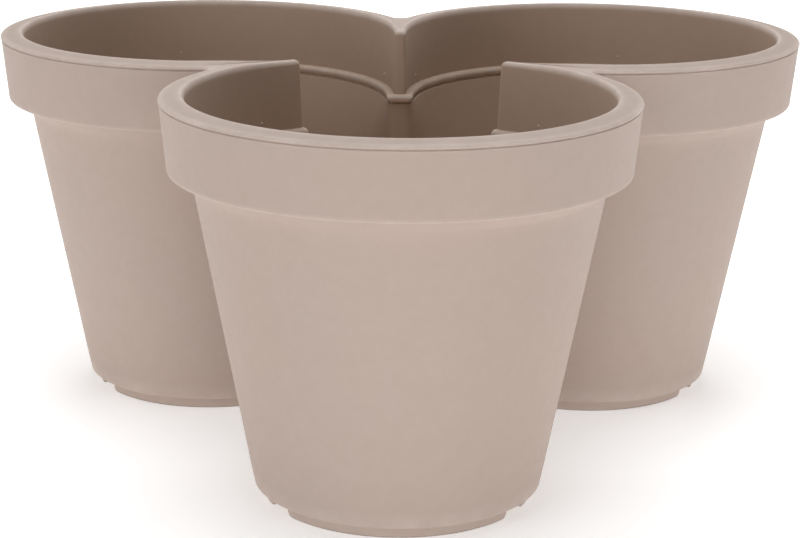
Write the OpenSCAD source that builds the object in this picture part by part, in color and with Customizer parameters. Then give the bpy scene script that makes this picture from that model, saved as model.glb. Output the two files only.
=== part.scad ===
// Planter of three round tapered pots that stand in a trefoil and open into one another at the top.
// The whole is one thin-walled moulding, drawn zone by zone along its own edges and steps.
// Every round zone is turned about the axis of its own pot, and each pot keeps a third of the plan.
// Z is up and is zero under the foot rings. The origin lies under the middle of the overall box.

/* [Layout] */
// Radius of a pot's mouth just inside the rim
mouth_r = 106.9; // [90:0.1:130]
// Half the width of a post at the top, where two mouths come closest
post_top_half_w = 3.2; // [2.6:0.1:5]
// Height from the ground to the crest of the rim
planter_h = 208.9; // [170:0.1:240]

/* [Rim] */
// Width of the rim from the mouth to the lip
rim_w = 13.1; // [11:0.1:16]
// Height of the rim above the collar
rim_h = 3.7; // [3.2:0.1:6]
// Width of the rounded inner edge, from the mouth to the crest
inner_edge_w = 1.5; // [0.8:0.1:3]
// Fall of the rim's top from the crest to the lip
rim_fall = 1.3; // [0.6:0.1:1.6]
// Width of the rounded outer edge of the lip
lip_edge_w = 2.4; // [1:0.1:4]
// Height of the rounded outer edge of the lip
lip_edge_h = 1.5; // [0.6:0.1:1.6]
// How far the lip stands out past the collar
lip_proud = 0.35; // [0.2:0.05:1]
// Height of the fine groove between lip and collar
groove_h = 0.7; // [0.4:0.1:0.8]
// Depth of that groove behind the collar's face
groove_depth = 0.5; // [0.2:0.1:1]
// Radius that rounds the valley where two lips meet
valley_r = 4.5; // [3:0.1:6]

/* [Collar] */
// Height of the collar below the rim
collar_h = 34.2; // [20:0.1:60]
// Radius that the collar loses from top to bottom
collar_taper = 3.35; // [1:0.05:5]
// Radius on the collar's lower outer edge
collar_edge_r = 1; // [0.4:0.1:1.6]
// Wall thickness of rim, collar and lining
upper_wall = 2.2; // [1.6:0.1:2.6]

/* [Lining and bead] */
// Height of the nearly upright wall inside the rim
lining_h = 33.8; // [20:0.1:60]
// Radius that this wall loses from top to bottom
lining_taper = 0.7; // [0.2:0.1:1.5]
// Height of the half-round bead below the lining
bead_h = 4.2; // [3:0.1:6]
// How far the bead reaches in past the lining
bead_reach = 3.4; // [2.8:0.1:4.5]
// Height of the undercut below the bead
undercut_h = 1.3; // [0.6:0.1:2.5]
// How deep the undercut goes behind the pot's wall
undercut_depth = 1.3; // [0.6:0.1:2]

/* [Pots] */
// How far the outside of a pot's wall lies in from the lining's foot
wall_step = 1.9; // [1.2:0.1:3]
// Radius that a pot loses from the bead down to its bottom edge
pot_taper = 30.2; // [15:0.1:36]
// Wall thickness of a pot
pot_wall = 1.8; // [1.4:0.1:2.6]
// How far the wall flares out to carry the bead
flare_w = 2; // [1:0.1:3]
// Height of that flare
flare_h = 4; // [2:0.1:8]
// Thickness of a pot's floor
floor_t = 2.2; // [1.6:0.1:4]
// Radius on the bottom edge of a pot
base_edge_r = 1; // [0.4:0.1:1.5]
// Radius of a drain hole
drain_r = 4.5; // [2:0.5:8]
// Distance of the drain holes' centres from the pot's bottom edge
drain_inset = 28.1; // [15:0.1:45]

/* [Feet] */
// Height of a foot ring
foot_h = 6.8; // [3:0.1:12]
// How far a foot ring stands in from the pot's bottom edge
foot_inset = 5.4; // [3:0.1:12]
// Radius that the foot ring gains up to the floor
foot_taper = 1.3; // [0.2:0.1:1.5]
// Thickness of a foot ring
foot_wall = 2.4; // [1.6:0.1:4]
// Angle of each gap in a foot ring
foot_gap_angle = 11; // [5:1:20]
// Angle from a pot's outward side to its two side gaps
side_gap_angle = 58.5; // [45:0.5:75]

/* [Passage] */
// Depth of the open passage between the pots, from the bead down to the bridge
passage_d = 37.2; // [22:0.1:60]
// Thickness of the bridge
bridge_t = 2; // [1.4:0.1:4]
// How far a post's nose stands in front of the line between two pot axes
nose_reach = 1.3; // [0.6:0.1:3]
// How far the sides of a post lie in from the bead round it
post_inset = 0.1; // [0.1:0.1:0.8]
// Radius on the corners of a post below the bead
post_corner_r = 3.8; // [2.5:0.1:4.5]
// Radius on the corners of a post above the bead
nose_corner_r = 1.2; // [0.8:0.1:2.4]
// Angle past the line between the axes at which a post's flanks run out
flank_angle = 26; // [23:1:30]

/* [Hidden] */

// Each pot has a third of the plan: its turn from the front pot, and a post's turn from the rear post
share_angle = 360 / 3;
front_angle = 0;
right_angle = share_angle;
left_angle = 2 * share_angle;
rear_post_angle = 0;
left_post_angle = share_angle;
right_post_angle = 2 * share_angle;

// Turn from a pot's outward side to its inward side
inward_angle = 180;

// Plan of the trefoil: the pots' axes lie on a ring, and posts stand between them
half_spacing = mouth_r + post_top_half_w;
axis_ring_r = half_spacing / cos(30);
line_s = axis_ring_r / 2;
planter_y = axis_ring_r / 4;
post_s = line_s - nose_reach;

// Levels, from the crest downward and from the ground upward
rim_base_z = planter_h - rim_h;
collar_foot_z = rim_base_z - collar_h;
bead_top_z = rim_base_z - lining_h;
bead_base_z = bead_top_z - bead_h;
undercut_base_z = bead_base_z - undercut_h;
bridge_z = bead_base_z - passage_d;
floor_top_z = foot_h + floor_t;

// Radii that follow from the mouth's
lip_r = mouth_r + rim_w;
collar_r = lip_r - lip_proud;
collar_foot_r = collar_r - collar_taper;
lining_foot_r = mouth_r - lining_taper;
bead_r = lining_foot_r - bead_reach;
bead_nose_r = bead_h / 2;
pot_top_r = lining_foot_r - wall_step;
pot_base_r = pot_top_r - pot_taper;
foot_r = pot_base_r - foot_inset;
drain_ring_r = pot_base_r - drain_inset;
post_half_w = half_spacing - bead_r - post_inset;

// Length that is sure to pass the planter's edge from anywhere inside it
reach = 2 * lip_r + axis_ring_r;

// Overrun of a cut past the faces that it opens, and the bite that keeps two faces from just touching
over = foot_wall / 2;
bite = valley_r / 30;

// Smoothness of turned shapes and of small rounded corners
$fn = 180;
corner_fn = 24;
flank_fn = 72;
edge_step_angle = 15;

clay = [0.74, 0.67, 0.62];
clay_dark = [0.62, 0.54, 0.49];

// Outer radius of a pot at a height
function pot_r(z) = pot_base_r + (pot_top_r - pot_base_r) * (z - foot_h) / (bead_base_z - foot_h);

// Points of a quarter ellipse about a centre, from one angle to another
function quarter(cx, cz, w, h, from, to) =
    [for (i = [0:1:90 / edge_step_angle])
        let (t = from + (to - from) * i * edge_step_angle / 90) [cx + w * cos(t), cz + h * sin(t)]];

// Distance from the planter's axis to the centre of the arc that rounds a valley between two rings
function valley_s(ring_r) = line_s + sqrt(pow(ring_r + valley_r, 2) - pow(half_spacing, 2));

module at_planter(turn_angle) {
    translate([0, planter_y, 0])
        rotate([0, 0, turn_angle])
            children();
}

module at_pot(turn_angle) {
    at_planter(turn_angle)
        translate([0, -axis_ring_r, 0])
            children();
}

// The third of the plan that belongs to one pot, as seen from that pot's axis
module pot_share() {
    translate([0, axis_ring_r, -over])
        linear_extrude(planter_h + 2 * over)
            polygon([
                [0, 0],
                [-reach * sin(60), -reach * cos(60)],
                [-reach * sin(60), -reach],
                [reach * sin(60), -reach],
                [reach * sin(60), -reach * cos(60)]
            ]);
}

// The triangle in the middle of the plan, whose sides lie at a distance from the planter's axis
module core(side_s) {
    translate([0, axis_ring_r, -over])
        linear_extrude(planter_h + 2 * over)
            rotate([0, 0, -90])
                circle(r = 2 * side_s, $fn = 3);
}

// A ring zone keeps to its own third and stops at the posts
module ring_zone(side_s) {
    intersection() {
        difference() {
            children();
            core(side_s);
        }
        pot_share();
    }
}

// Both valleys at the ends of one pot's share: the children lie about the planter's axis, valley along +Y
module at_valleys() {
    for (side = [-1, 1])
        translate([0, axis_ring_r, 0])
            rotate([0, 0, side * share_angle / 2 - inward_angle])
                children();
}

// Fill in a valley between two rings, rounded by an upright or leaning cylinder
module valley_fill(low_r, high_r, low_z, high_z) {
    low_s = valley_s(low_r) - bite;
    high_s = valley_s(high_r) - bite;
    back = 2 * valley_r;
    lean = atan((high_s - low_s) / (high_z - low_z));
    half_w = half_spacing * valley_r / (high_r + valley_r) - 2 * bite;
    difference() {
        translate([-half_w, 0, 0])
            rotate([90, 0, 90])
                linear_extrude(2 * half_w)
                    polygon([
                        [low_s - back, low_z],
                        [low_s - valley_r / 2, low_z],
                        [high_s - valley_r / 2, high_z],
                        [high_s - back, high_z]
                    ]);
        translate([0, low_s, low_z])
            rotate([-lean, 0, 0])
                translate([0, 0, -valley_r])
                    cylinder(r = valley_r, h = high_z - low_z + 3 * valley_r);
    }
}

// One side of the open middle at the rim's height, which the rounded inner edge widens upward
module mouth_side(side) {
    translate([0, axis_ring_r, 0])
        rotate([0, 0, side * share_angle / 2 - inward_angle])
            translate([-reach, 0, 0])
                rotate([90, 0, 90])
                    linear_extrude(2 * reach)
                        polygon(concat([[line_s, rim_base_z - over]],
                            quarter(line_s + inner_edge_w, rim_base_z, inner_edge_w, rim_h + bite, 180, 90), [
                            [line_s + inner_edge_w, planter_h + over],
                            [-reach, planter_h + over],
                            [-reach, rim_base_z - over]
                        ]));
}

// Rim: rounded inner edge, top that falls outward, rounded lip over a fine groove, hollow underside
module rim(turn_angle) {
    inner_edge = quarter(mouth_r + inner_edge_w, rim_base_z, inner_edge_w, rim_h, 180, 90);
    lip_z = planter_h - rim_fall - lip_edge_h;
    lip_edge = quarter(lip_r - lip_edge_w, lip_z, lip_edge_w, lip_edge_h, 90, 0);
    edge_rise = lip_edge_h - bite;
    groove_r = collar_r - groove_depth;
    hollow_in = mouth_r + upper_wall;
    hollow_out = collar_r - upper_wall;
    color(clay)
        at_pot(turn_angle)
            intersection() {
                difference() {
                    union() {
                        rotate_extrude()
                            polygon(concat(inner_edge, lip_edge, [
                                [lip_r, rim_base_z + groove_h],
                                [groove_r, rim_base_z + groove_h],
                                [groove_r, rim_base_z],
                                [hollow_out, rim_base_z],
                                [hollow_out, lip_z + lip_edge_h - upper_wall],
                                [hollow_in, planter_h - upper_wall],
                                [hollow_in, rim_base_z]
                            ]));
                        at_valleys()
                            for (inset = [0, lip_edge_w / 2])
                                valley_fill(lip_r - inset, lip_r - inset, rim_base_z + groove_h + bite,
                                    lip_z + bite + edge_rise * sqrt(1 - pow(1 - inset / lip_edge_w, 2)));
                    }
                    intersection() {
                        mouth_side(-1);
                        mouth_side(1);
                    }
                }
                pot_share();
            }
}

// Collar: the tapered skirt that hangs from the rim, with a rounded lower edge
module collar(turn_angle) {
    edge_z = collar_foot_z + collar_edge_r;
    lower_edge = quarter(collar_foot_r - collar_edge_r, edge_z, collar_edge_r, collar_edge_r, 0, -90);
    color(clay)
        at_pot(turn_angle)
            ring_zone(line_s) {
                rotate_extrude()
                    polygon(concat([[collar_r, rim_base_z]], lower_edge, [
                        [collar_foot_r - upper_wall, collar_foot_z],
                        [collar_r - upper_wall, rim_base_z]
                    ]));
                at_valleys()
                    valley_fill(collar_foot_r, collar_r, collar_foot_z, rim_base_z);
            }
}

// Lining: the nearly upright wall inside the rim, down to the bead
module lining(turn_angle) {
    color(clay_dark)
        at_pot(turn_angle)
            ring_zone(line_s + upper_wall)
                rotate_extrude()
                    polygon([
                        [lining_foot_r, bead_top_z],
                        [mouth_r, rim_base_z],
                        [mouth_r + upper_wall, rim_base_z],
                        [lining_foot_r + upper_wall, bead_top_z]
                    ]);
}

// Bead: the ledge with a half-round nose between the lining and the tapered pot
module bead(turn_angle) {
    color(clay_dark)
        at_pot(turn_angle)
            ring_zone(line_s + upper_wall)
                rotate_extrude() {
                    translate([bead_r + bead_nose_r, bead_base_z + bead_nose_r])
                        circle(r = bead_nose_r);
                    translate([bead_r + bead_nose_r, bead_base_z])
                        square([bead_reach + upper_wall - bead_nose_r, bead_h]);
                }
}

// Wall: the tapered pot with its rounded bottom edge, a full ring up to the bridge and open inward above it
module wall(turn_angle) {
    open_half = 30 + flank_angle;
    bottom_edge = quarter(pot_base_r - base_edge_r, foot_h + base_edge_r, base_edge_r, base_edge_r, -90, 0);
    color(clay)
        at_pot(turn_angle)
            difference() {
                rotate_extrude()
                    polygon(concat([[pot_base_r - pot_wall, foot_h]], bottom_edge, [
                        [pot_r(bead_base_z - flare_h), bead_base_z - flare_h],
                        [pot_top_r + flare_w, bead_base_z],
                        [pot_r(undercut_base_z) - pot_wall + undercut_depth, bead_base_z],
                        [pot_r(undercut_base_z) - pot_wall + undercut_depth, undercut_base_z],
                        [pot_r(undercut_base_z) - pot_wall, undercut_base_z]
                    ]));
                translate([0, 0, bridge_z])
                    linear_extrude(planter_h)
                        polygon([
                            [0, 0],
                            [reach * sin(open_half), reach * cos(open_half)],
                            [0, reach],
                            [-reach * sin(open_half), reach * cos(open_half)]
                        ]);
            }
}

// Floor: the plate inside the foot of a pot's wall, with three drain holes
module floor_plate(turn_angle) {
    color(clay)
        at_pot(turn_angle)
            difference() {
                translate([0, 0, foot_h])
                    cylinder(r1 = pot_base_r - pot_wall, r2 = pot_r(floor_top_z) - pot_wall, h = floor_t);
                for (i = [0:2])
                    rotate([0, 0, i * share_angle - 90])
                        translate([drain_ring_r, 0, foot_h - over])
                            cylinder(r = drain_r, h = floor_t + 2 * over);
            }
}

// Foot: the ring that a pot stands on, parted by three gaps that let water out
module foot(turn_angle) {
    color(clay)
        at_pot(turn_angle)
            difference() {
                rotate_extrude()
                    polygon([
                        [foot_r - foot_wall, 0],
                        [foot_r, 0],
                        [foot_r + foot_taper, foot_h],
                        [foot_r - foot_wall, foot_h]
                    ]);
                for (at = [-side_gap_angle, side_gap_angle, inward_angle])
                    rotate([0, 0, at - 90])
                        translate([0, 0, -over])
                            linear_extrude(foot_h + 2 * over)
                                polygon([
                                    [0, 0],
                                    [reach * cos(foot_gap_angle / 2), -reach * sin(foot_gap_angle / 2)],
                                    [reach * cos(foot_gap_angle / 2), reach * sin(foot_gap_angle / 2)]
                                ]);
            }
}

// Line round the front of a post in plan, from one back corner to the other
function nose_line(half_w, front_s, corner_r, back_s) = concat(
    [[half_w, back_s]],
    quarter(half_w - corner_r, front_s + corner_r, corner_r, corner_r, 0, -90),
    quarter(corner_r - half_w, front_s + corner_r, corner_r, corner_r, -90, -180),
    [[-half_w, back_s]]
);

function backwards(points) = [for (i = [len(points) - 1:-1:0]) points[i]];

// Nose of a post above the bead, leaning back as it rises: one outline drawn up to another
module upper_nose() {
    back_s = line_s + upper_wall;
    corner_r = min(nose_corner_r, upper_wall - bite, half_spacing - mouth_r - bite);
    foot = nose_line(half_spacing - lining_foot_r, post_s, corner_r, back_s);
    head = nose_line(half_spacing - mouth_r, line_s, corner_r, back_s);
    n = len(foot);
    polyhedron(
        points = [for (p = foot) [p.x, p.y, bead_top_z - bite], for (p = head) [p.x, p.y, rim_base_z]],
        faces = concat(
            [[for (i = [n - 1:-1:0]) i], [for (i = [0:n - 1]) n + i]],
            [for (i = [0:n - 1]) [i, (i + 1) % n, n + i]],
            [for (i = [0:n - 1]) [(i + 1) % n, n + (i + 1) % n, n + i]]
        )
    );
}

// The bead carried round the front of a post
module bead_nose() {
    half_w = half_spacing - bead_r - bead_nose_r;
    back_s = line_s + upper_wall;
    intersection() {
        hull()
            for (side = [-1, 1], s = [post_s - bite + bead_nose_r, back_s + bead_nose_r])
                translate([side * half_w, s, bead_base_z + bead_nose_r])
                    sphere(r = bead_nose_r, $fn = corner_fn);
        translate([-reach / 2, back_s - reach, 0])
            cube([reach, reach, planter_h]);
    }
}

// Front of a post below the bead: a flat nose with round corners, hollow behind
module post_channel(inset, low_z, high_z) {
    back_s = post_s + post_corner_r;
    outside = nose_line(post_half_w - inset, post_s + inset, post_corner_r - inset, back_s);
    inside = nose_line(post_half_w - pot_wall, post_s + pot_wall, post_corner_r - pot_wall, back_s);
    translate([0, 0, low_z])
        linear_extrude(high_z - low_z)
            polygon(concat(outside, backwards(inside)));
}

// Space that a post's flank wraps: the pot's cone drawn out to the corner of the post
module flank_body(grow) {
    hull() {
        translate([half_spacing, line_s, bridge_z])
            cylinder(
                r1 = pot_r(bridge_z) - pot_wall + grow,
                r2 = pot_r(undercut_base_z) - pot_wall + grow,
                h = undercut_base_z - bridge_z,
                $fn = flank_fn
            );
        translate([post_half_w - grow, post_s + post_corner_r - bite, bridge_z])
            cube([grow + bite, 2 * bite, undercut_base_z - bridge_z]);
    }
}

// One flank of a post, from its corner to where it runs out on the pot's wall
module flank() {
    intersection() {
        difference() {
            flank_body(pot_wall);
            flank_body(0);
        }
        translate([0, 0, bridge_z])
            linear_extrude(planter_h)
                polygon([
                    [0, post_s + post_corner_r - bite],
                    [half_spacing, post_s + post_corner_r - bite],
                    [half_spacing, line_s],
                    [0, line_s + half_spacing * tan(flank_angle)]
                ]);
    }
}

// Post: the upright between two pots, with its upper nose, the bead round it, and the hollow foot below
module post(turn_angle) {
    color(clay_dark)
        at_planter(turn_angle) {
            upper_nose();
            bead_nose();
            post_channel(undercut_depth / 2, undercut_base_z, bead_base_z + bead_nose_r);
            post_channel(0, bridge_z, undercut_base_z);
            flank();
            mirror([1, 0, 0])
                flank();
        }
}

// Bridge: the flat web between the three pots, out to the posts
module bridge() {
    low_z = bridge_z - 2 * bridge_t;
    tip_r = pot_r(bridge_z);
    tip = [half_spacing - tip_r * cos(flank_angle), line_s + tip_r * sin(flank_angle)];
    heel = [post_half_w - pot_wall, post_s + post_corner_r];
    star = [for (a = [0:share_angle:2 * share_angle], p = [tip, heel, [-heel.x, heel.y], [-tip.x, tip.y]])
        [p.x * cos(a) - p.y * sin(a), p.x * sin(a) + p.y * cos(a)]];
    color(clay_dark)
        difference() {
            at_planter(0)
                translate([0, 0, bridge_z - bridge_t])
                    linear_extrude(bridge_t)
                        polygon(star);
            for (turn_angle = [front_angle, right_angle, left_angle])
                at_pot(turn_angle)
                    translate([0, 0, low_z])
                        cylinder(r1 = pot_r(low_z), r2 = pot_r(low_z + 3 * bridge_t), h = 3 * bridge_t);
        }
}

rim(front_angle);  // rim_front
rim(right_angle);  // rim_right
rim(left_angle);  // rim_left
collar(front_angle);  // collar_front
collar(right_angle);  // collar_right
collar(left_angle);  // collar_left
lining(front_angle);  // lining_front
lining(right_angle);  // lining_right
lining(left_angle);  // lining_left
bead(front_angle);  // bead_front
bead(right_angle);  // bead_right
bead(left_angle);  // bead_left
wall(front_angle);  // wall_front
wall(right_angle);  // wall_right
wall(left_angle);  // wall_left
floor_plate(front_angle);  // floor_front
floor_plate(right_angle);  // floor_right
floor_plate(left_angle);  // floor_left
foot(front_angle);  // foot_front
foot(right_angle);  // foot_right
foot(left_angle);  // foot_left
post(rear_post_angle);  // post_rear
post(left_post_angle);  // post_left
post(right_post_angle);  // post_right
bridge();
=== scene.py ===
# Trefoil planter: three round tapered pots moulded in one piece, in matt taupe plastic.
# All lengths are in metres. Plan curves run anticlockwise seen from above.
import math

import bmesh
import bpy
import numpy as np
from mathutils import Matrix, Vector


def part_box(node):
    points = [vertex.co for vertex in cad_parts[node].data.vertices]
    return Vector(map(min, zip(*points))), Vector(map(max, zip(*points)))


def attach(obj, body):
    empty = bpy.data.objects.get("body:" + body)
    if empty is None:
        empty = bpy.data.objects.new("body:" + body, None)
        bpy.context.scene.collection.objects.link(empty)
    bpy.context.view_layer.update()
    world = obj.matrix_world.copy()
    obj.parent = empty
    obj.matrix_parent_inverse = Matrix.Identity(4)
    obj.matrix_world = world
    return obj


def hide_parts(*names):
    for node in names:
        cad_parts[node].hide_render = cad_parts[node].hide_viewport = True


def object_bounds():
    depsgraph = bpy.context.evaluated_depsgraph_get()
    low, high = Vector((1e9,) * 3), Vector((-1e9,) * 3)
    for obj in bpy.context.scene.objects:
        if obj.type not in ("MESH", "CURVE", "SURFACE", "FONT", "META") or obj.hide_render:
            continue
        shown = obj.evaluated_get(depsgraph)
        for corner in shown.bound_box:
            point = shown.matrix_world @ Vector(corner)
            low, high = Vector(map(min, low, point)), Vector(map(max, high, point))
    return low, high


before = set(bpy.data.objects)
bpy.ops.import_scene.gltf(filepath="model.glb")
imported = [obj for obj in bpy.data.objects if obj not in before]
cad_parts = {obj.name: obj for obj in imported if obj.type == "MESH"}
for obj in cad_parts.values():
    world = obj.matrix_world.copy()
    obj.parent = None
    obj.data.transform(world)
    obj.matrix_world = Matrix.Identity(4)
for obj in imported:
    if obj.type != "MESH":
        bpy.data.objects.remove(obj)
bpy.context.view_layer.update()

mm = 0.001

# The trefoil's plan
sides = ("front", "right", "left")    # the pots, each a third of a turn on from the one before
shareAngle = math.radians(120)        # a pot's third of the plan
neighbourAngle = math.radians(150)    # from a pot's outward side to the line to the next pot's axis
middleAngle = math.radians(30)        # from that line on to the middle of the plan
mirror = np.array([-1, 1])            # flips a plan curve across its outward axis


# What the frame gives: the pots' places and the levels of every step. The planter is as wide as two lip
# radii and the distance between two axes, and the three axes stand on a ring about the planter's own.
def readFrame():
    low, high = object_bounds()
    rimLow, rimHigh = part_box("rim_front")
    beadLow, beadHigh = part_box("bead_front")
    bridgeLow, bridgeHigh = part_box("bridge")
    lipRadius = (rimHigh.x - rimLow.x) / 2
    halfSpacing = (high.x - low.x) / 2 - lipRadius
    axisRing = halfSpacing / math.cos(middleAngle)
    return {
        "lipRadius": lipRadius,
        "halfSpacing": halfSpacing,
        "axisRing": axisRing,
        "lineOut": axisRing / 2,    # from the planter's axis out to the line between two pots' axes
        "planterY": rimLow.y + lipRadius + axisRing,
        "crestZ": rimHigh.z,
        "rimBaseZ": rimLow.z,
        "collarFootZ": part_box("collar_front")[0].z,
        "beadTopZ": beadHigh.z,
        "beadBaseZ": beadLow.z,
        "bridgeTopZ": bridgeHigh.z,
        "bridgeBaseZ": bridgeLow.z,
        "footTopZ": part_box("foot_front")[1].z,
    }


plan = readFrame()
print("read the frame")

# How finely the plan curves are drawn: points on each stretch of a pot's share
fineness = {
    "mainArc": 221,
    "sideArc": 24,
    "flank": 8,
    "corner": 9,
    "noseFlat": 3,
    "spoke": 26,                      # from the end of a post to the middle of the plan
    "sideAngle": math.radians(28.5),  # past the line between two axes, where the side arc starts
}


# Even shares, from 1 / count up to 1
def steps(count):
    return np.arange(1, count + 1) / count


# Even angles of a quarter turn, from 0 up to 90 degrees
def quarterTurn(count):
    return np.linspace(0, math.pi / 2, count)


# Points on a circle: the centre plus the radius times the cosine and the sine of each angle
def arc(centre, radius, angles):
    return np.stack([centre[0] + radius * np.cos(angles), centre[1] + radius * np.sin(angles)], -1)


# Plan points turned about the origin: x cos - y sin, and x sin + y cos
def turned(points, angle):
    cosine, sine = math.cos(angle), math.sin(angle)
    x, y = points[..., 0], points[..., 1]
    return np.stack([cosine * x - sine * y, sine * x + cosine * y], -1)


# A pot's own circle beside a junction, from the end of its main arc to the angle where it is left.
# Junctions are drawn in (across, outward) axes, with the pot's axis half the spacing across.
def sideArc(radius, touch):
    start = fineness["sideAngle"]
    angles = start + (touch - start) * steps(fineness["sideArc"])
    return arc((-plan["halfSpacing"], plan["lineOut"]), radius, angles)


# Half of a junction on the mouth side, up to the mirror line: the pot's circle, then the straight line that
# touches both the circle and the post's corner circle on opposite sides, then the corner arc, then the flat
# nose. The circle is left where the straight line touches it, at an angle that is given back too.
def mouthHalf(radius, noseOut, halfWidth, cornerRadius):
    cornerAcross, cornerOut = cornerRadius - halfWidth, noseOut + cornerRadius
    across, outward = cornerAcross + plan["halfSpacing"], cornerOut - plan["lineOut"]
    reach = math.hypot(across, outward)
    touch = math.atan2(outward, across) + math.acos(min(1.0, (radius + cornerRadius) / reach))
    circle = sideArc(radius, touch)
    leave = arc((cornerAcross, cornerOut), -cornerRadius, touch)
    flank = circle[-1] + (leave - circle[-1]) * steps(fineness["flank"])[:, None]
    bend = math.pi + touch + (math.pi / 2 - touch) * steps(fineness["corner"])
    corner = arc((cornerAcross, cornerOut), cornerRadius, bend)
    onwards = 1 - steps(fineness["noseFlat"])
    flat = np.stack([cornerAcross * onwards, np.full(len(onwards), noseOut)], -1)
    return np.concatenate([circle, flank, corner, flat]), touch


# Half of a junction on the outside: the ring's circle, then the hollow arc that rounds the valley between two
# rings. The arc's centre is on the mirror line, as far from the pot's axis as both radii together.
def valleyHalf(radius, valleyRadius):
    halfSpacing, lineOut = plan["halfSpacing"], plan["lineOut"]
    centreOut = lineOut + math.sqrt((radius + valleyRadius) ** 2 - halfSpacing ** 2)
    touch = math.atan2(centreOut - lineOut, halfSpacing)
    count = fineness["flank"] + fineness["corner"] + fineness["noseFlat"]
    bend = touch - math.pi + (math.pi / 2 - touch) * steps(count)
    return np.concatenate([sideArc(radius, touch), arc((0, centreOut), valleyRadius, bend)])


# A closed plan curve: for each pot its main arc of this radius, then a half junction and its mirror image,
# which ends one step short of the next pot's main arc
def closedCurve(radius, half):
    sweep = neighbourAngle - fineness["sideAngle"]
    angles = np.linspace(-sweep, sweep, fineness["mainArc"]) - math.pi / 2
    main = arc((0, -plan["axisRing"]), radius, angles)
    junction = turned(np.concatenate([half, half[-2::-1] * mirror]) * mirror, -shareAngle)
    share = np.concatenate([main, junction])
    return np.concatenate([turned(share, turn * shareAngle) for turn in range(len(sides))])


# A plan curve lifted to a height, or to one for each point, and moved to the planter's axis
def raised(curve, z):
    out = np.empty((len(curve), 3))
    out[:, :2] = curve
    out[:, 1] += plan["planterY"]
    out[:, 2] = z
    return out


# The whole mouth curve at a height. A post is as thick as two circles of this radius leave it.
def mouthRow(radius, noseOut, cornerRadius, z):
    half, touch = mouthHalf(radius, noseOut, plan["halfSpacing"] - radius, cornerRadius)
    return raised(closedCurve(radius, half), z)


# The whole outer curve at a height
def outerRow(radius, valleyRadius, z):
    return raised(closedCurve(radius, valleyHalf(radius, valleyRadius)), z)


# Points on a circle about a pot's axis, at angles from its outward side
def potCircle(turn, angles, radius, z):
    circle = arc((0, -plan["axisRing"]), radius, angles - math.pi / 2)
    return raised(turned(circle, turn * shareAngle), z)


# Rows between two rows, at even shares of the straight way from point to point
def between(first, last, count):
    return [first + (last - first) * share for share in np.arange(1, count + 1) / (count + 1)]


# Rows of points, one after the other, that make up a grid. A row's edge value says how much it wears and how
# much painted highlight it has, and its inner value how far it has the colour of the inside, which is painted
# shade.
class Rows:
    def __init__(self):
        self.points, self.edge, self.inner = [], [], []

    def add(self, points, edge=0.0, inner=0.0):
        self.points.append(points)
        self.edge.append(edge)
        self.inner.append(inner)

    def grid(self, **closing):
        return {"points": np.array(self.points), "edge": self.edge, "inner": self.inner, **closing}


meshing = {
    "mergeDistance": 0.002 * mm,
    "shortestEdge": 0.001 * mm,
    "sharpAngle": math.radians(32),
}


# A mesh from grids of points, each (rows, columns, 3). Columns are closed on themselves unless open, and rows
# are closed where the grid says so. Points shared by two grids become one, and the faces turn outwards.
def meshFrom(name, grids):
    verts, faces, base = [], [], 0
    marks = {"edge": [], "inner": []}
    for grid in grids:
        points = grid["points"]
        rows, columns = points.shape[:2]
        index = base + np.arange(rows * columns).reshape(rows, columns)
        if grid.get("closedRows"):
            index = np.concatenate([index, index[:1]])
        if not grid.get("openColumns"):
            index = np.concatenate([index, index[:, :1]], 1)
        quads = np.stack([index[:-1, :-1], index[:-1, 1:], index[1:, 1:], index[1:, :-1]], -1)
        verts.append(points.reshape(-1, 3))
        faces.append(quads.reshape(-1, 4))
        for mark, values in marks.items():
            rowValues = np.broadcast_to(np.asarray(grid.get(mark, 0.0), float), rows)
            values.append(np.repeat(rowValues, columns))
        base += rows * columns
    mesh = bpy.data.meshes.new(name)
    mesh.from_pydata(np.concatenate(verts).tolist(), [], np.concatenate(faces).tolist())
    for mark, values in marks.items():
        mesh.attributes.new(mark, "FLOAT", "POINT").data.foreach_set("value", np.concatenate(values))
    work = bmesh.new()
    work.from_mesh(mesh)
    bmesh.ops.remove_doubles(work, verts=work.verts, dist=meshing["mergeDistance"])
    bmesh.ops.dissolve_degenerate(work, edges=work.edges, dist=meshing["shortestEdge"])
    bmesh.ops.recalc_face_normals(work, faces=work.faces)
    work.to_mesh(mesh)
    work.free()
    mesh.shade_smooth()
    mesh.set_sharp_from_angle(angle=meshing["sharpAngle"])
    piece = bpy.data.objects.new(name, mesh)
    bpy.context.scene.collection.objects.link(piece)
    return piece


# A finished piece gets its material and rides on the one body there is, and the CAD nodes it takes the place
# of are hidden
def settle(piece, material, nodes):
    piece.data.materials.append(material)
    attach(piece, "root")
    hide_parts(*nodes)
    print("made", piece.name, len(piece.data.polygons), "faces")


# The names of a zone's three CAD nodes, one for each pot
def named(stem):
    return [stem + "_" + side for side in sides]


# Shader values: one class wraps a socket, so that sums on values are written as plain expressions
class ShaderValue:
    def __init__(self, shade, socket):
        self.shade, self.socket = shade, socket

    def join(self, operation, other, swap=False):
        pair = [other, self] if swap else [self, other]
        return self.shade.node("ShaderNodeMath", {"operation": operation}, dict(enumerate(pair)))

    def __add__(self, other):
        return self.join("ADD", other)

    def __radd__(self, other):
        return self.join("ADD", other, True)

    def __sub__(self, other):
        return self.join("SUBTRACT", other)

    def __rsub__(self, other):
        return self.join("SUBTRACT", other, True)

    def __mul__(self, other):
        return self.join("MULTIPLY", other)

    def __rmul__(self, other):
        return self.join("MULTIPLY", other, True)


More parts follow.
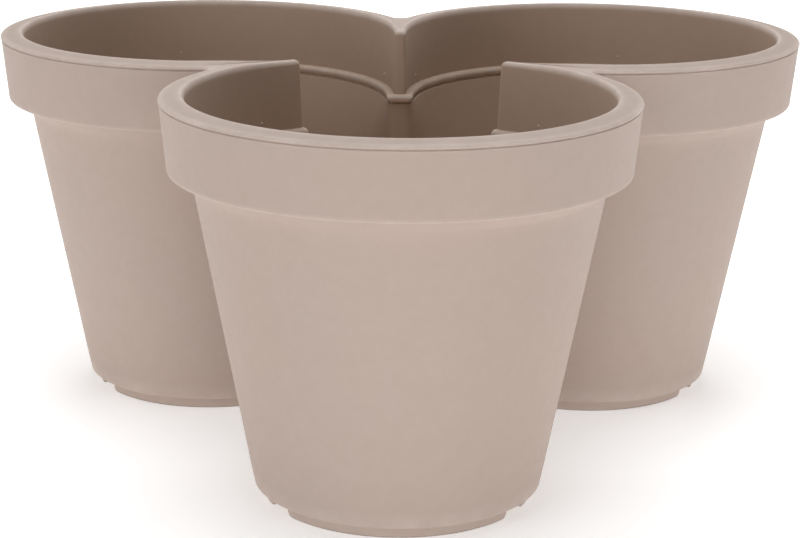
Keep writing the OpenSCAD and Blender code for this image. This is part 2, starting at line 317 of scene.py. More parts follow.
# The nodes of a material or a world
class Shade:
    def __init__(self, owner):
        owner.use_nodes = True
        self.owner, self.tree = owner, owner.node_tree
        self.tree.nodes.clear()

    # Any node: its type, its settings, the values or links of its sockets, and the output wanted
    def node(self, kind, settings=None, sockets=None, output=0):
        made = self.tree.nodes.new(kind)
        for key, value in (settings or {}).items():
            setattr(made, key, value)
        for key, value in (sockets or {}).items():
            if isinstance(value, ShaderValue):
                self.tree.links.new(value.socket, made.inputs[key])
            else:
                made.inputs[key].default_value = value
        return ShaderValue(self, made.outputs[output]) if made.outputs else None

    # A value that the mesh's points carry
    def mark(self, name):
        return self.node("ShaderNodeAttribute", {"attribute_name": name}, output="Fac")

    # A noise over a place, at the pattern's scale
    def noise(self, place, pattern):
        return self.node("ShaderNodeTexNoise", {}, {
            "Vector": place, "Scale": pattern["scale"], "Detail": pattern["detail"],
            "Roughness": pattern["roughness"]})

    # A noise whose values from low to high are spread over 0 to 1, and clamped beyond
    def patches(self, place, pattern):
        return self.node("ShaderNodeMapRange", {"clamp": True}, {
            "Value": self.noise(place, pattern), "From Min": pattern["low"], "From Max": pattern["high"],
            "To Min": 0.0, "To Max": 1.0})

    # Two colours mixed by a factor. A Mix node's inputs 6 and 7 and its output 2 are the ones for colours.
    def mixed(self, factor, first, second):
        return self.node("ShaderNodeMix", {"data_type": "RGBA"}, {0: factor, 6: first, 7: second}, 2)


# The standard curve from screen levels to linear colour
screenCurve = {"levels": 255, "knee": 0.04045, "slope": 12.92, "offset": 0.055, "power": 2.4}


# A colour written in screen levels, made linear: straight up to the knee, and a power above it
def linear(levels):
    knee, slope, offset = screenCurve["knee"], screenCurve["slope"], screenCurve["offset"]
    parts = [level / screenCurve["levels"] for level in levels]
    bent = [((part + offset) / (1 + offset)) ** screenCurve["power"] for part in parts]
    return (*[part / slope if part <= knee else above for part, above in zip(parts, bent)], 1.0)


plasticSettings = {
    "base": (191, 174, 164),
    "warm": (192, 173, 162),
    "inside": (185, 163, 146),        # inner faces are darker and warmer: painted shade and bounce light of the pots' insides
    "pale": (217, 202, 192),          # worn edges with their painted highlights, and scuffs
    "soiled": (160, 138, 124),
    "roughness": 0.62,
    "roughMottle": 0.10,              # mottling is rougher by this much
    "smoothDrift": 0.08,              # and the warm drift smoother
    "ior": 1.49,
    "specular": 0.18,
    "wearAndPaintedHighlight": 0.7,                      # strength of the worn edges and their painted highlights
    "wearRub": 0.6,                   # the share of it that comes in patches
    "soiling": 0.10,                  # strength of the mottling's colour
    "scuffing": 0.12,
    "bump": 0.35,
    "bumpDepth": 0.05 * mm,
    "bumpMottle": 0.4,                # height of the mottling next to the grain's
    # Noises, in cells per metre, and the values that are spread over 0 to 1
    "drift": {"scale": 9.0, "detail": 3.0, "roughness": 0.5, "low": 0.35, "high": 0.65},
    "mottle": {"scale": 160.0, "detail": 4.0, "roughness": 0.6, "low": 0.3, "high": 0.7},
    "grain": {"scale": 2600.0, "detail": 2.0, "roughness": 0.55},
    "rub": {"scale": 70.0, "detail": 5.0, "roughness": 0.65, "low": 0.38, "high": 0.68},
    "scuff": {"scale": 1.0, "detail": 6.0, "roughness": 0.7, "low": 0.66, "high": 0.74},
    "scuffStretch": (40.0, 40.0, 420.0),    # cells per metre of the scuffs, which are wide and flat
}


# Matt moulded plastic: soft colour drift, fine grain, a darker and warmer inside that is painted shade, paler
# worn edges that also carry painted highlights, and a few faint scuffs.
# Each layer is mixed over the one before by its own mask, and grain and mottling together make the bump.
def mouldedPlastic(name, settings, inner=None):
    shade = Shade(bpy.data.materials.new(name))
    place = shade.node("ShaderNodeTexCoord", output="Object")
    if inner is None:
        inner = shade.mark("inner")
    drift = shade.patches(place, settings["drift"])
    mottle = shade.patches(place, settings["mottle"])
    grain = shade.noise(place, settings["grain"])
    rub = shade.patches(place, settings["rub"])
    # Painted highlight: the edge mark, partly real wear and partly painted highlights where rounded edges
    # catch light, mixes in the pale colour
    wearAndPaintedHighlight = shade.mark("edge") * (1 - settings["wearRub"] + settings["wearRub"] * rub) * settings["wearAndPaintedHighlight"]
    stretched = shade.node("ShaderNodeMapping", {}, {"Vector": place, "Scale": settings["scuffStretch"]})
    scuff = shade.patches(stretched, settings["scuff"]) * settings["scuffing"]
    colour = shade.mixed(drift, linear(settings["base"]), linear(settings["warm"]))
    # Painted shade: inner faces take the inside's darker, warmer colour in place of the shade and coloured
    # bounce light in the pots
    colour = shade.mixed(inner, colour, linear(settings["inside"]))
    colour = shade.mixed(mottle * settings["soiling"], colour, linear(settings["soiled"]))
    colour = shade.mixed(wearAndPaintedHighlight + scuff, colour, linear(settings["pale"]))
    rough = settings["roughness"] + settings["roughMottle"] * mottle - settings["smoothDrift"] * drift
    bump = shade.node("ShaderNodeBump", {}, {
        "Strength": settings["bump"], "Distance": settings["bumpDepth"],
        "Height": grain + settings["bumpMottle"] * mottle})
    body = shade.node("ShaderNodeBsdfPrincipled", {}, {
        "Base Color": colour, "Roughness": rough, "Normal": bump,
        "IOR": settings["ior"], "Specular IOR Level": settings["specular"]})
    shade.node("ShaderNodeOutputMaterial", {}, {"Surface": body})
    return shade.owner


plastic = mouldedPlastic("taupePlastic", plasticSettings)
# The inside's painted shade all over, for the pots' floors
shadedInnerPlastic = mouldedPlastic("taupePlasticShadedInside", plasticSettings, 1.0)
print("made the plastic's materials")

# Rim
rim = {
    "mouthRadius": 106.9 * mm,
    "innerEdgeWidth": 2.3 * mm,
    "noseSink": 1.2 * mm,        # the top dips towards the end of each post
    "sinkReach": 48.0 * mm,      # from this far away
    "noseCorner": 2.0 * mm,
    "cornerLoss": 0.5,           # what that corner loses, as a share of the distance into the material
    "leastCorner": 0.2 * mm,
    "fall": 1.3 * mm,            # of the top, from the crest to the lip's shoulder
    "lipWidth": 2.4 * mm,
    "lipHeight": 1.5 * mm,
    "valleyRadius": 4.5 * mm,
    "grooveHeight": 0.7 * mm,
    "grooveDepth": 0.85 * mm,
    "grooveEdge": 0.12 * mm,
    "wall": 2.2 * mm,
    "backGap": 0.1 * mm,         # keeps the hollow's inner side off the lining's back
    "collarRadius": 119.65 * mm,
    "rows": {"innerEdge": 12, "top": 14, "lip": 10, "grooveEdge": 4, "hollow": 6},
    # Wear on the rim's edges, with painted highlights along the mouth, lip and groove
    "wearAndPaintedHighlight": {"mouth": 0.2, "lip": 0.6, "lipBend": 0.4, "groove": 0.8},
    "topWearAndPaintedHighlight": {"crest": 0.9, "shoulder": 0.7, "power": 3},    # wear and painted highlight, fading from both sides of the top
}


# Mouth curve at a distance into the material: the circle grows, and the post's nose thins and steps back
def mouthOffset(distance, z):
    corner = max(rim["noseCorner"] - rim["cornerLoss"] * distance, rim["leastCorner"])
    return mouthRow(rim["mouthRadius"] + distance, plan["lineOut"] + distance, corner, z)


# Outer curve at a distance into the material: the ring shrinks, and the valley's arc grows
def lipOffset(distance, z):
    return outerRow(plan["lipRadius"] - distance, rim["valleyRadius"] + distance, z)


# The top's dip at each point of a row: full at a post's nose, fading with the distance from it along a
# smooth curve, 3 n squared - 2 n cubed of the nearness n
def sunk(row, share=1.0):
    flat = row[:, :2] - [0, plan["planterY"]]
    nose = np.array([0, plan["lineOut"]])
    noses = np.stack([turned(nose, turn * shareAngle) for turn in range(len(sides))])
    far = np.min(np.linalg.norm(flat[:, None, :] - noses[None, :, :], axis=2), axis=1)
    near = np.clip(1 - far / rim["sinkReach"], 0, 1)
    out = row.copy()
    out[:, 2] -= share * rim["noseSink"] * near * near * (3 - 2 * near)
    return out


# Rim: a quarter ellipse up from the mouth, a top that falls in straight lines to the lip's shoulder,
# a quarter ellipse down to the lip's face, the groove, and the hollow underside, closed on itself.
def makeRim():
    baseZ, crestZ = plan["rimBaseZ"], plan["crestZ"]
    shoulderZ = crestZ - rim["fall"]
    lipZ = shoulderZ - rim["lipHeight"]
    grooveZ = baseZ + rim["grooveHeight"]
    count, wearAndPaintedHighlight, topWearAndPaintedHighlight = rim["rows"], rim["wearAndPaintedHighlight"], rim["topWearAndPaintedHighlight"]
    rows = Rows()
    # The mouth carries the inside's painted shade, which fades out up the inner edge
    rows.add(mouthOffset(0, baseZ), wearAndPaintedHighlight["mouth"], 1.0)
    # Up the inner edge the painted highlight grows towards the crest
    for angle in quarterTurn(count["innerEdge"])[1:]:
        rise = math.sin(angle)
        row = mouthOffset(rim["innerEdgeWidth"] * (1 - math.cos(angle)), baseZ + (crestZ - baseZ) * rise)
        rows.add(sunk(row, rise), rise, 1 - rise)
    top = between(rows.points[-1], lipOffset(rim["lipWidth"], shoulderZ), count["top"])
    worn = np.abs(np.linspace(-topWearAndPaintedHighlight["crest"], topWearAndPaintedHighlight["shoulder"], count["top"])) ** topWearAndPaintedHighlight["power"]
    for row, edge in zip(top, worn):
        rows.add(row, edge)
    # The lip's bend is palest in its middle: painted highlight
    for angle in quarterTurn(count["lip"]):
        row = lipOffset(rim["lipWidth"] * (1 - math.sin(angle)), lipZ + rim["lipHeight"] * math.cos(angle))
        rows.add(row, wearAndPaintedHighlight["lip"] + wearAndPaintedHighlight["lipBend"] * math.sin(2 * angle))
    for angle in quarterTurn(count["grooveEdge"])[1:]:
        inset, rise = rim["grooveEdge"] * (1 - math.cos(angle)), rim["grooveEdge"] * (1 - math.sin(angle))
        rows.add(lipOffset(inset, grooveZ + rise), wearAndPaintedHighlight["groove"])
    rows.add(lipOffset(rim["grooveDepth"], grooveZ))
    rows.add(lipOffset(rim["grooveDepth"], baseZ))
    hollowRadius, back = rim["collarRadius"] - rim["wall"], rim["wall"] + rim["backGap"]
    hollowOut = outerRow(hollowRadius, rim["valleyRadius"], shoulderZ - rim["wall"])
    hollowIn = sunk(mouthOffset(back, crestZ - rim["wall"]))
    rows.add(outerRow(hollowRadius, rim["valleyRadius"], baseZ))
    for row in [hollowOut] + between(hollowOut, hollowIn, count["hollow"]) + [hollowIn]:
        rows.add(row)
    rows.add(mouthOffset(back, baseZ))
    return meshFrom("rim", [rows.grid(closedRows=True)])


settle(makeRim(), plastic, named("rim"))

# Collar
collar = {
    "radius": rim["collarRadius"],
    "footRadius": 116.3 * mm,
    "topEdge": 0.15 * mm,
    "lowerEdge": 1.0 * mm,
    "wall": rim["wall"],
    "valleyRadius": rim["valleyRadius"],
    "rows": {"topEdge": 4, "face": 22, "lowerEdge": 8},
    # Wear on the collar's edges, with a painted highlight along the lower edge
    "wearAndPaintedHighlight": {"topEdge": 0.5, "aboveEdge": 0.5, "lowerEdge": 0.7, "foot": 0.3},
}


# Collar: straight taper between two radii, small rounded upper edge, rounded lower edge, and its back.
def makeCollar():
    topZ, footZ = plan["rimBaseZ"], plan["collarFootZ"]
    high, low, valley = collar["radius"], collar["footRadius"], collar["valleyRadius"]
    taper = (high - low) / (topZ - footZ)
    upper, lower = collar["topEdge"], collar["lowerEdge"]
    count, wearAndPaintedHighlight = collar["rows"], collar["wearAndPaintedHighlight"]
    rows = Rows()
    for angle in quarterTurn(count["topEdge"]):
        radius = high - upper * (1 - math.sin(angle))
        rows.add(outerRow(radius, valley, topZ - upper * (1 - math.cos(angle))), wearAndPaintedHighlight["topEdge"])
    for z in np.linspace(topZ - upper, footZ + lower, count["face"])[1:]:
        rows.add(outerRow(high - taper * (topZ - z), valley, z))
    rows.edge[-1] = wearAndPaintedHighlight["aboveEdge"]
    for angle in quarterTurn(count["lowerEdge"])[1:]:
        radius = low + taper * lower - lower * (1 - math.cos(angle))
        rows.add(outerRow(radius, valley, footZ + lower * (1 - math.sin(angle))), wearAndPaintedHighlight["lowerEdge"])
    rows.add(outerRow(low - collar["wall"], valley, footZ), wearAndPaintedHighlight["foot"])
    rows.add(outerRow(high - collar["wall"], valley, topZ))
    return meshFrom("collar", [rows.grid(closedRows=True)])


settle(makeCollar(), plastic, named("collar"))

# Lining and bead
lining = {
    "footRadius": 106.2 * mm,
    "wall": rim["wall"],
    "noseReach": 1.3 * mm,       # how far the post's nose stands in front of the line between the axes
    "noseCorner": rim["noseCorner"],
    "beadReach": 3.7 * mm,       # from the lining's foot inwards
    "beadNoseReach": 3.3 * mm,   # in front of the line between the axes, as the nose's
    "beadCorner": 2.8 * mm,
    "beadSink": 0.4 * mm,        # how much lower the bead's shelf is than the solids'
    "beadDrop": 1.0 * mm,        # and its underside
    "undersideInset": 1.3 * mm,  # the underside and the back stay this far inside the lining's foot
    "backInset": 1.0 * mm,
    "backDrop": 0.8 * mm,        # the back leans out from below the shelf
    "backRise": 1.5 * mm,        # to above it
    "backCorner": 0.4 * mm,
    "rows": {"wall": 16, "shelf": 5, "bead": 19},
    "wearAndPaintedHighlight": {"top": 0.1, "shelf": 0.1},
    "pipRadius": 0.7 * mm,
    "pipZ": 176.3 * mm,
    "pipPoints": {"around": 12, "down": 8},
    "pipAngles": {               # in degrees from each pot's outward side
        "front": (45, 136, -136, -45),
        "right": (45, 131.5, -136, -45),
        "left": (45, 136, -131.5, -45),
    },
}


# A pip on the lining: a small ball, half sunk in the wall, drawn in rings from pole to pole
def pip(turn, angle):
    share = (plan["rimBaseZ"] - lining["pipZ"]) / (plan["rimBaseZ"] - plan["beadTopZ"])
    wallRadius = rim["mouthRadius"] + (lining["footRadius"] - rim["mouthRadius"]) * share
    centre = potCircle(turn, np.array([angle]), wallRadius, lining["pipZ"])
    count = lining["pipPoints"]
    turns = np.linspace(0, 2 * math.pi, count["around"] + 1)[:-1]
    around, down = np.meshgrid(turns, np.linspace(0, math.pi, count["down"]))
    ball = np.stack([np.sin(down) * np.cos(around), np.sin(down) * np.sin(around), np.cos(down)], -1)
    # The pips are pale all over: painted highlights on the small balls
    return {"points": centre + lining["pipRadius"] * ball, "edge": 1.0}


# The bead's curve at a depth out from its innermost ring. Its corners at a post's nose tighten with the
# depth, from the bead's own to the lining's.
def beadRow(depth, noseOut, z):
    reach = lining["beadReach"]
    corner = lining["beadCorner"] + (lining["noseCorner"] - lining["beadCorner"]) * min(1, depth / reach)
    return mouthRow(lining["footRadius"] - reach + depth, noseOut, corner, z)


# Lining and bead: the upright wall leans in a little, a level shelf, a half circle, a level underside
# and a back that leans out to the wall's. Above its middle the bead goes no further back than the nose of
# the post above it.
def makeLining():
    lineOut, topZ = plan["lineOut"], plan["rimBaseZ"]
    shelfZ, baseZ = plan["beadTopZ"] - lining["beadSink"], plan["beadBaseZ"] - lining["beadDrop"]
    mouth, foot, wall = rim["mouthRadius"], lining["footRadius"], lining["wall"]
    noseFoot, beadFront = lineOut - lining["noseReach"], lineOut - lining["beadNoseReach"]
    reach, half = lining["beadReach"], (shelfZ - baseZ) / 2
    count, wearAndPaintedHighlight = lining["rows"], lining["wearAndPaintedHighlight"]
    rows = Rows()
    # The lining and the bead carry the inside's painted shade
    for z in np.linspace(topZ, shelfZ, count["wall"]):
        share = (topZ - z) / (topZ - shelfZ)
        noseOut = lineOut + (noseFoot - lineOut) * share
        rows.add(mouthRow(mouth + (foot - mouth) * share, noseOut, lining["noseCorner"], z), inner=1.0)
    rows.edge[0] = wearAndPaintedHighlight["top"]
    for depth in np.linspace(reach, half, count["shelf"])[1:-1]:
        rows.add(beadRow(depth, noseFoot, shelfZ), wearAndPaintedHighlight["shelf"], 1.0)
    # The bead is palest at its nose: painted highlight
    for angle in np.linspace(math.pi / 2, -math.pi / 2, count["bead"]):
        depth = half * (1 - math.cos(angle))
        noseOut = min(beadFront + depth, noseFoot) if angle > 0 else beadFront + depth
        rows.add(beadRow(depth, noseOut, baseZ + half * (1 + math.sin(angle))), math.cos(angle), 1.0)
    rows.add(beadRow(reach - lining["undersideInset"], beadFront + reach, baseZ))
    rows.add(beadRow(reach - lining["backInset"], beadFront + reach, shelfZ - lining["backDrop"]))
    rows.add(mouthRow(foot + wall, noseFoot + wall, lining["backCorner"], shelfZ + lining["backRise"]))
    rows.add(mouthRow(mouth + wall, lineOut + wall, lining["backCorner"], topZ))
    pips = [pip(turn, math.radians(angle))
            for turn, side in enumerate(sides) for angle in lining["pipAngles"][side]]
    return meshFrom("lining", [rows.grid(closedRows=True)] + pips)


settle(makeLining(), plastic, named("lining") + named("bead"))

# Vessel: the tapered pots, the lower posts and the bridge
vessel = {
    "topRadius": 104.3 * mm,
    "baseRadius": 74.1 * mm,
    "wall": 1.8 * mm,
    "undercutHeight": 1.0 * mm,
    "undercutDepth": 1.3 * mm,
    "flareWidth": 2.0 * mm,      # what the posts' walls gain
    "flareHeight": 4.0 * mm,     # below the solids' bead
    "flareBow": 1.2,             # power of the flare's curve
    "flareGap": 0.1 * mm,        # keeps the flare's top inside the lining's back
    "flareDrop": 0.2 * mm,       # and below the solids' bead top
    "baseEdge": 0.5 * mm,
    "postHalfWidth": 7.2 * mm,
    "postCorner": 3.8 * mm,
    "leastCorner": 0.3 * mm,
    "bridgeEdge": 2.0 * mm,
    "leastWidth": 1e-9,          # of the bridge at a point, so that nothing is divided by zero
    "rows": {"upper": 10, "flare": 8, "lower": 15, "baseEdge": 8, "bridgeEdge": 8, "bridge": 8},
    # Wear on the bottom edge and the bridge's edge, with painted highlight on the bottom edge
    "wearAndPaintedHighlight": {"baseEdge": 0.8, "bridgeEdge": 0.7},
}


# Outer radius of a pot at a height, in a straight line from its bottom edge to the bead
def coneRadius(z):
    share = (z - plan["footTopZ"]) / (plan["beadBaseZ"] - plan["footTopZ"])
    return vessel["baseRadius"] + (vessel["topRadius"] - vessel["baseRadius"]) * share


# The vessel's wall above the bridge, a depth into the material from its inner face: half a junction
def postHalf(radius, depth):
    noseOut = plan["lineOut"] - lining["noseReach"] + depth
    corner = max(vessel["postCorner"] - depth, vessel["leastCorner"])
    return mouthHalf(radius, noseOut, vessel["postHalfWidth"] - depth, corner)


# The same wall's whole curve at a height
def postRow(radius, depth, z):
    return raised(closedCurve(radius, postHalf(radius, depth)[0]), z)


# Walls and posts above the bridge: up the inside, out into the undercut and up to its top, across to the
# flare, which widens by a power of its height, and down the outside
def upperWalls():
    wall, depth, count = vessel["wall"], vessel["undercutDepth"], vessel["rows"]
    undercutTopZ = plan["beadBaseZ"] - lining["beadDrop"]
    undercutZ = undercutTopZ - vessel["undercutHeight"]
    flareZ, flareTopZ = plan["beadBaseZ"] - vessel["flareHeight"], plan["beadTopZ"]
    rows = Rows()
    # The inner face carries the inside's painted shade
    for z in np.linspace(plan["bridgeTopZ"], undercutZ, count["upper"]):
        rows.add(postRow(coneRadius(z) - wall, 0, z), inner=1.0)
    for z in (undercutZ, undercutTopZ):
        rows.add(postRow(coneRadius(undercutZ) - wall + depth, depth, z), inner=1.0)
    spread = lining["footRadius"] + lining["wall"] - vessel["flareGap"] - coneRadius(flareTopZ)
    for share in np.linspace(1, 0, count["flare"])[:-1]:
        z = flareZ + (flareTopZ - flareZ) * share
        widening = share ** vessel["flareBow"]
        thickness = wall + vessel["flareWidth"] * widening
        rows.add(postRow(coneRadius(z) + spread * widening, thickness, z - vessel["flareDrop"] * share))
    for z in np.linspace(flareZ, plan["bridgeBaseZ"], count["upper"]):
        rows.add(postRow(coneRadius(z), wall, z))
    return rows.grid()


# Angles of a full circle about a pot's axis, from its outward side, that share their points with the
# rows above the bridge: main arc, side arc, the arc under the flank and nose, and the rest to the middle
def potAngles(touch):
    side = fineness["sideAngle"]
    sweep = neighbourAngle - side
    main = np.linspace(-sweep, sweep, fineness["mainArc"])
    after = neighbourAngle - (side + (touch - side) * steps(fineness["sideArc"]))
    underPost = touch * (1 - steps(fineness["flank"] + fineness["corner"] + fineness["noseFlat"]))
    inward = neighbourAngle + np.concatenate([-underPost, middleAngle * steps(fineness["spoke"])])
    return np.concatenate([main, after, inward, 2 * math.pi - inward[-2::-1], 2 * math.pi - after[::-1]])


# Which of those angles face the bridge: from the last one of the side arc to its mirror image
def bridgeSide():
    first = fineness["mainArc"] + fineness["sideArc"] - 1
    count = fineness["flank"] + fineness["corner"] + fineness["noseFlat"] + fineness["spoke"]
    return slice(first, first + 2 * count + 1)


# Lower pot: full circles down the inside, round the bottom edge and up the outside.
# On the side that faces the bridge, the top row is drawn down by the bridge's rounded edge.
def lowerPot(turn, insideAngles, outsideAngles, drop):
    edgeRadius, baseZ, count = vessel["baseEdge"], plan["footTopZ"], vessel["rows"]
    topRow = np.full(len(insideAngles), plan["bridgeTopZ"])
    topRow[bridgeSide()] -= drop
    rows = Rows()
    # The inner face carries the inside's painted shade
    for share in np.linspace(0, 1, count["lower"]):
        z = topRow + (baseZ - topRow) * share
        rows.add(potCircle(turn, insideAngles, coneRadius(z) - vessel["wall"], z), inner=1.0)
    for angle in quarterTurn(count["baseEdge"]):
        angles = insideAngles + (outsideAngles - insideAngles) * math.sin(angle)
        radius = vessel["baseRadius"] - edgeRadius * (1 - math.sin(angle))
        row = potCircle(turn, angles, radius, baseZ + edgeRadius * (1 - math.cos(angle)))
        rows.add(row, vessel["wearAndPaintedHighlight"]["baseEdge"])
    for z in np.linspace(baseZ + edgeRadius, plan["bridgeBaseZ"], count["lower"])[1:]:
        rows.add(potCircle(turn, outsideAngles, coneRadius(z), z))
    return rows.grid()


# The bridge's far line for one pot: along a post's flank and nose, in to the middle, and out again
def bridgeLine(turn, half):
    inwards = half[-1, 1] * (1 - steps(fineness["spoke"]))
    spoke = np.stack([np.zeros(fineness["spoke"]), inwards], -1)
    line = turned(np.concatenate([half[fineness["sideArc"] - 1:], spoke]) * mirror, -shareAngle)
    return turned(np.concatenate([line, line[-2::-1] * mirror]), turn * shareAngle)


# The bridge's top for one pot: a quarter circle up and over from the pot's inside, which takes half the
# width at most, and straight on to the far line. It also gives that bend's size at each point.
def bridgeTop(turn, half, angles):
    topZ, wall, count, wearAndPaintedHighlight = plan["bridgeTopZ"], vessel["wall"], vessel["rows"], vessel["wearAndPaintedHighlight"]
    far = raised(bridgeLine(turn, half), topZ)
    near = potCircle(turn, angles, coneRadius(topZ) - wall, topZ)[bridgeSide()]
    width = np.linalg.norm(far - near, axis=1)[:, None]
    bend = np.minimum(vessel["bridgeEdge"], width / 2)
    toward = (far - near) / np.maximum(width, vessel["leastWidth"])
    lowZ = topZ - bend[:, 0]
    rows = Rows()
    rows.add(potCircle(turn, angles[bridgeSide()], coneRadius(lowZ) - wall, lowZ), wearAndPaintedHighlight["bridgeEdge"], 1.0)
    for angle in quarterTurn(count["bridgeEdge"])[1:]:
        fall = np.array([0, 0, 1]) * bend * (1 - math.sin(angle))
        rows.add(near + toward * bend * (1 - math.cos(angle)) - fall, wearAndPaintedHighlight["bridgeEdge"], 1.0)
    for row in between(rows.points[-1], far, count["bridge"]) + [far]:
        rows.add(row, inner=1.0)
    return rows.grid(openColumns=True), bend[:, 0]


# The bridge's underside for one pot: straight from the pot's outside to the far line
def bridgeUnderside(turn, half, angles):
    underZ = plan["bridgeBaseZ"]
    far = raised(bridgeLine(turn, half), underZ)
    near = potCircle(turn, angles, coneRadius(underZ), underZ)[bridgeSide()]
    rows = Rows()
    for row in [near] + between(near, far, vessel["rows"]["bridge"]) + [far]:
        rows.add(row)
    return rows.grid(openColumns=True)


# Vessel: the walls above the bridge, and each pot's lower part with its share of the bridge
def makeVessel():
    innerHalf, innerTouch = postHalf(coneRadius(plan["bridgeTopZ"]) - vessel["wall"], 0)
    outerHalf, outerTouch = postHalf(coneRadius(plan["bridgeBaseZ"]), vessel["wall"])
    insideAngles, outsideAngles = potAngles(innerTouch), potAngles(outerTouch)
    grids = [upperWalls()]
    for turn in range(len(sides)):
        top, drop = bridgeTop(turn, innerHalf, insideAngles)
        grids.append(lowerPot(turn, insideAngles, outsideAngles, drop))
        grids.append(top)
        grids.append(bridgeUnderside(turn, outerHalf, outsideAngles))
    return meshFrom("vessel", grids)


settle(makeVessel(), plastic, named("wall") + ["post_rear", "post_left", "post_right", "bridge"])

# Feet
feet = {
    "radius": 68.7 * mm,
    "taper": 1.3 * mm,           # how much wider the ring is at its top
    "wall": 2.4 * mm,
    "bend": 2.2 * mm,            # rounded lower corners at the ends of each bar
    "edge": 0.3 * mm,
    "points": {"bend": 8, "bar": 70},
    # Middle and width of each gap in degrees, from the outward side
    "gaps": ((59.2, 14.0), (180.0, 11.0), (300.8, 14.0)),
    # Half of a bar's section from the top down: the share of the height, the rise and the inset in edges,
    # and the wear with its painted highlight
    "section": ((0.0, 0.0, 0.0, 0.0), (0.5, 0.0, 0.0, 0.0), (1.0, 1.0, 0.0, 0.6), (1.0, 0.0, 1.0, 0.8)),
}


# A bar of the foot ring between two angles. Its section is drawn round, outer face down and inner face up,
# the lower line rises in a quarter circle at both ends, and each end closes on the middle of the wall.
def footBar(turn, first, last):
    topZ, bend, radius = plan["footTopZ"], feet["bend"], feet["radius"]
    insideFace = radius - feet["wall"]
    bending = quarterTurn(feet["points"]["bend"])
    near, rise = bend * (1 - np.cos(bending)) / radius, bend * (1 - np.sin(bending))
    middle = np.linspace(first + near[-1], last - near[-1], feet["points"]["bar"])[1:-1]
    angles = np.concatenate([[first], first + near, middle, last - near[::-1], [last]])
    lowZ = np.concatenate([[rise[0]], rise, np.zeros(len(middle)), rise[::-1], [rise[0]]])
    closing = np.zeros(len(angles))
    closing[[0, -1]] = 1.0
    rows = Rows()
    for outer, section in ((True, feet["section"]), (False, feet["section"][::-1])):
        for share, lift, inset, wearAndPaintedHighlight in section:
            z = topZ + (lowZ - topZ) * share + feet["edge"] * lift
            outsideFace = radius + feet["taper"] * z / topZ
            face = outsideFace - feet["edge"] * inset if outer else insideFace + feet["edge"] * inset
            heart = (outsideFace + insideFace) / 2
            rows.add(potCircle(turn, angles, face + (heart - face) * closing, z), wearAndPaintedHighlight)
    return rows.grid(closedRows=True, openColumns=True)


# Feet: under each pot one bar from every gap to the next
def makeFeet():
    starts = [math.radians(middle + width / 2) for middle, width in feet["gaps"]]
    ends = [math.radians(middle - width / 2) for middle, width in feet["gaps"]]
    ends = ends[1:] + [ends[0] + 2 * math.pi]
    bars = [footBar(turn, first, last) for turn in range(len(sides)) for first, last in zip(starts, ends)]
    return meshFrom("feet", bars)


settle(makeFeet(), plastic, named("foot"))

# Floors: the CAD nodes themselves show, in the inside's plastic with its painted shade
for name in named("floor"):
    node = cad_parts[name]
    node.data.materials.clear()
    node.data.materials.append(shadedInnerPlastic)
print("dressed the floors")

# Camera, at the photograph's viewing angle
camera = {
    "place": (-3.63 * mm, -1179.18 * mm, 411.14 * mm),    # from the foot of the planter's own axis
    "heading": math.radians(0.22),
    "pitch": math.radians(15.58),
    "roll": math.radians(0.56),
    "lens": 97.04,
    "sensor": 36.0,
    "clip": (0.05, 50.0),
}


# Camera: it looks ahead by its heading and pitch, and its right and up axes are tipped by its roll
def makeCamera():
    heading, pitch, roll = camera["heading"], camera["pitch"], camera["roll"]
    right = Vector((math.cos(heading), -math.sin(heading), 0))
    level = math.cos(pitch)
    ahead = Vector((math.sin(heading) * level, math.cos(heading) * level, -math.sin(pitch)))
    up = right.cross(ahead)
    tippedRight = right * math.cos(roll) + up * math.sin(roll)
    tippedUp = up * math.cos(roll) - right * math.sin(roll)
    data = bpy.data.cameras.new("camera")
    data.lens, data.sensor_width, data.sensor_fit = camera["lens"], camera["sensor"], "HORIZONTAL"
    data.clip_start, data.clip_end = camera["clip"]
    view = bpy.data.objects.new("camera", data)
    bpy.context.scene.collection.objects.link(view)
    place = Vector(camera["place"]) + Vector((0, plan["planterY"], 0))
    axes = Matrix((tippedRight, tippedUp, -ahead)).transposed()
    view.matrix_world = Matrix.Translation(place) @ axes.to_4x4()
    bpy.context.scene.camera = view


makeCamera()
print("set the camera")

# Floor and light. A lamp stands at an azimuth from the front and an elevation in degrees, at a distance
# from the point it faces, and its size is across and up.
softbox = {"distance": 2.4, "size": (1.4, 1.4)}
studio = {
    "floorRadius": 12.0,
    "floorColour": (0.88, 0.88, 0.88, 1.0),
    "floorGlow": 0.46,           # seen by the camera alone
    "white": (1.0, 1.0, 1.0, 1.0),
    "aimHeight": 0.10,
    "lamps": {
        "backSoftbox": {**softbox, "azimuth": 180, "elevation": 32, "power": 19.5},
        "backLeftSoftbox": {**softbox, "azimuth": -135, "elevation": 10, "power": 14.5},
        "backRightSoftbox": {**softbox, "azimuth": 135, "elevation": 10, "power": 17.5},
        "leftSoftbox": {**softbox, "azimuth": -49, "elevation": 11, "power": 21.5},
        "rightSoftbox": {**softbox, "azimuth": 45, "elevation": 10, "power": 7.0},
        "rightStrip": {"azimuth": 45, "elevation": 0, "distance": 1.6, "size": (1.6, 0.2), "power": 5.6},
        "topSoftbox": {**softbox, "azimuth": 0, "elevation": 86, "power": 35.0},
        # It shines up from 0.2 mm above the floor
        "lightTable": {"azimuth": 0, "elevation": -90, "distance": 0.0998, "size": (3.0, 3.0), "power": 11.6},
    },
}


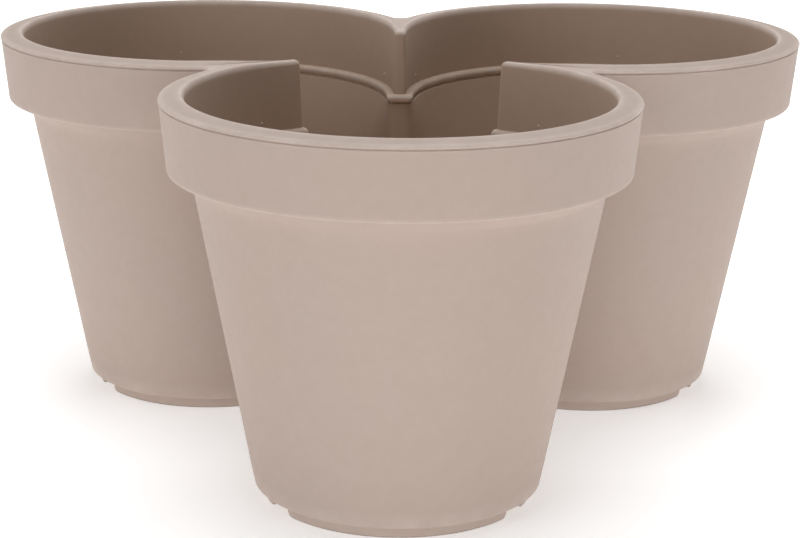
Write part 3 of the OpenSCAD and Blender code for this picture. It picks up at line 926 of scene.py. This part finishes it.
# Floor: a matt white square, to which the camera sees a glow added
def makeFloor():
    mesh = bpy.data.meshes.new("ground")
    far = studio["floorRadius"]
    mesh.from_pydata([(-far, -far, 0), (far, -far, 0), (far, far, 0), (-far, far, 0)], [], [(0, 1, 2, 3)])
    ground = bpy.data.objects.new("ground", mesh)
    bpy.context.scene.collection.objects.link(ground)
    shade = Shade(bpy.data.materials.new("groundWhite"))
    seen = shade.node("ShaderNodeLightPath", output="Is Camera Ray")
    matt = shade.node("ShaderNodeBsdfDiffuse", {}, {"Color": studio["floorColour"]})
    glow = shade.node("ShaderNodeEmission", {}, {
        "Color": studio["white"], "Strength": seen * studio["floorGlow"]})
    both = shade.node("ShaderNodeAddShader", {}, {0: matt, 1: glow})
    shade.node("ShaderNodeOutputMaterial", {}, {"Surface": both})
    mesh.materials.append(shade.owner)


# Light: a world that is white to the camera alone, and area lamps that the camera doesn't see, each moved
# back from the point it faces along the way it faces
def makeLight():
    world = bpy.data.worlds.new("studio")
    bpy.context.scene.world = world
    shade = Shade(world)
    seen = shade.node("ShaderNodeLightPath", output="Is Camera Ray")
    white = shade.node("ShaderNodeBackground", {}, {"Color": studio["white"], "Strength": seen})
    shade.node("ShaderNodeOutputWorld", {}, {"Surface": white})
    for name, made in studio["lamps"].items():
        data = bpy.data.lights.new(name, "AREA")
        data.energy, data.shape = made["power"], "RECTANGLE"
        data.size, data.size_y = made["size"]
        lamp = bpy.data.objects.new(name, data)
        bpy.context.scene.collection.objects.link(lamp)
        lamp.visible_camera = False
        turn, tilt = math.radians(made["azimuth"]), math.radians(made["elevation"])
        aim = Vector((-math.sin(turn) * math.cos(tilt), math.cos(turn) * math.cos(tilt), -math.sin(tilt)))
        lamp.location = Vector((0, 0, studio["aimHeight"])) - aim * made["distance"]
        lamp.rotation_euler = aim.to_track_quat("-Z", "Y").to_euler()


makeFloor()
makeLight()
bpy.context.scene.view_settings.view_transform = "Standard"
print("laid the floor and set", len(studio["lamps"]), "lamps")
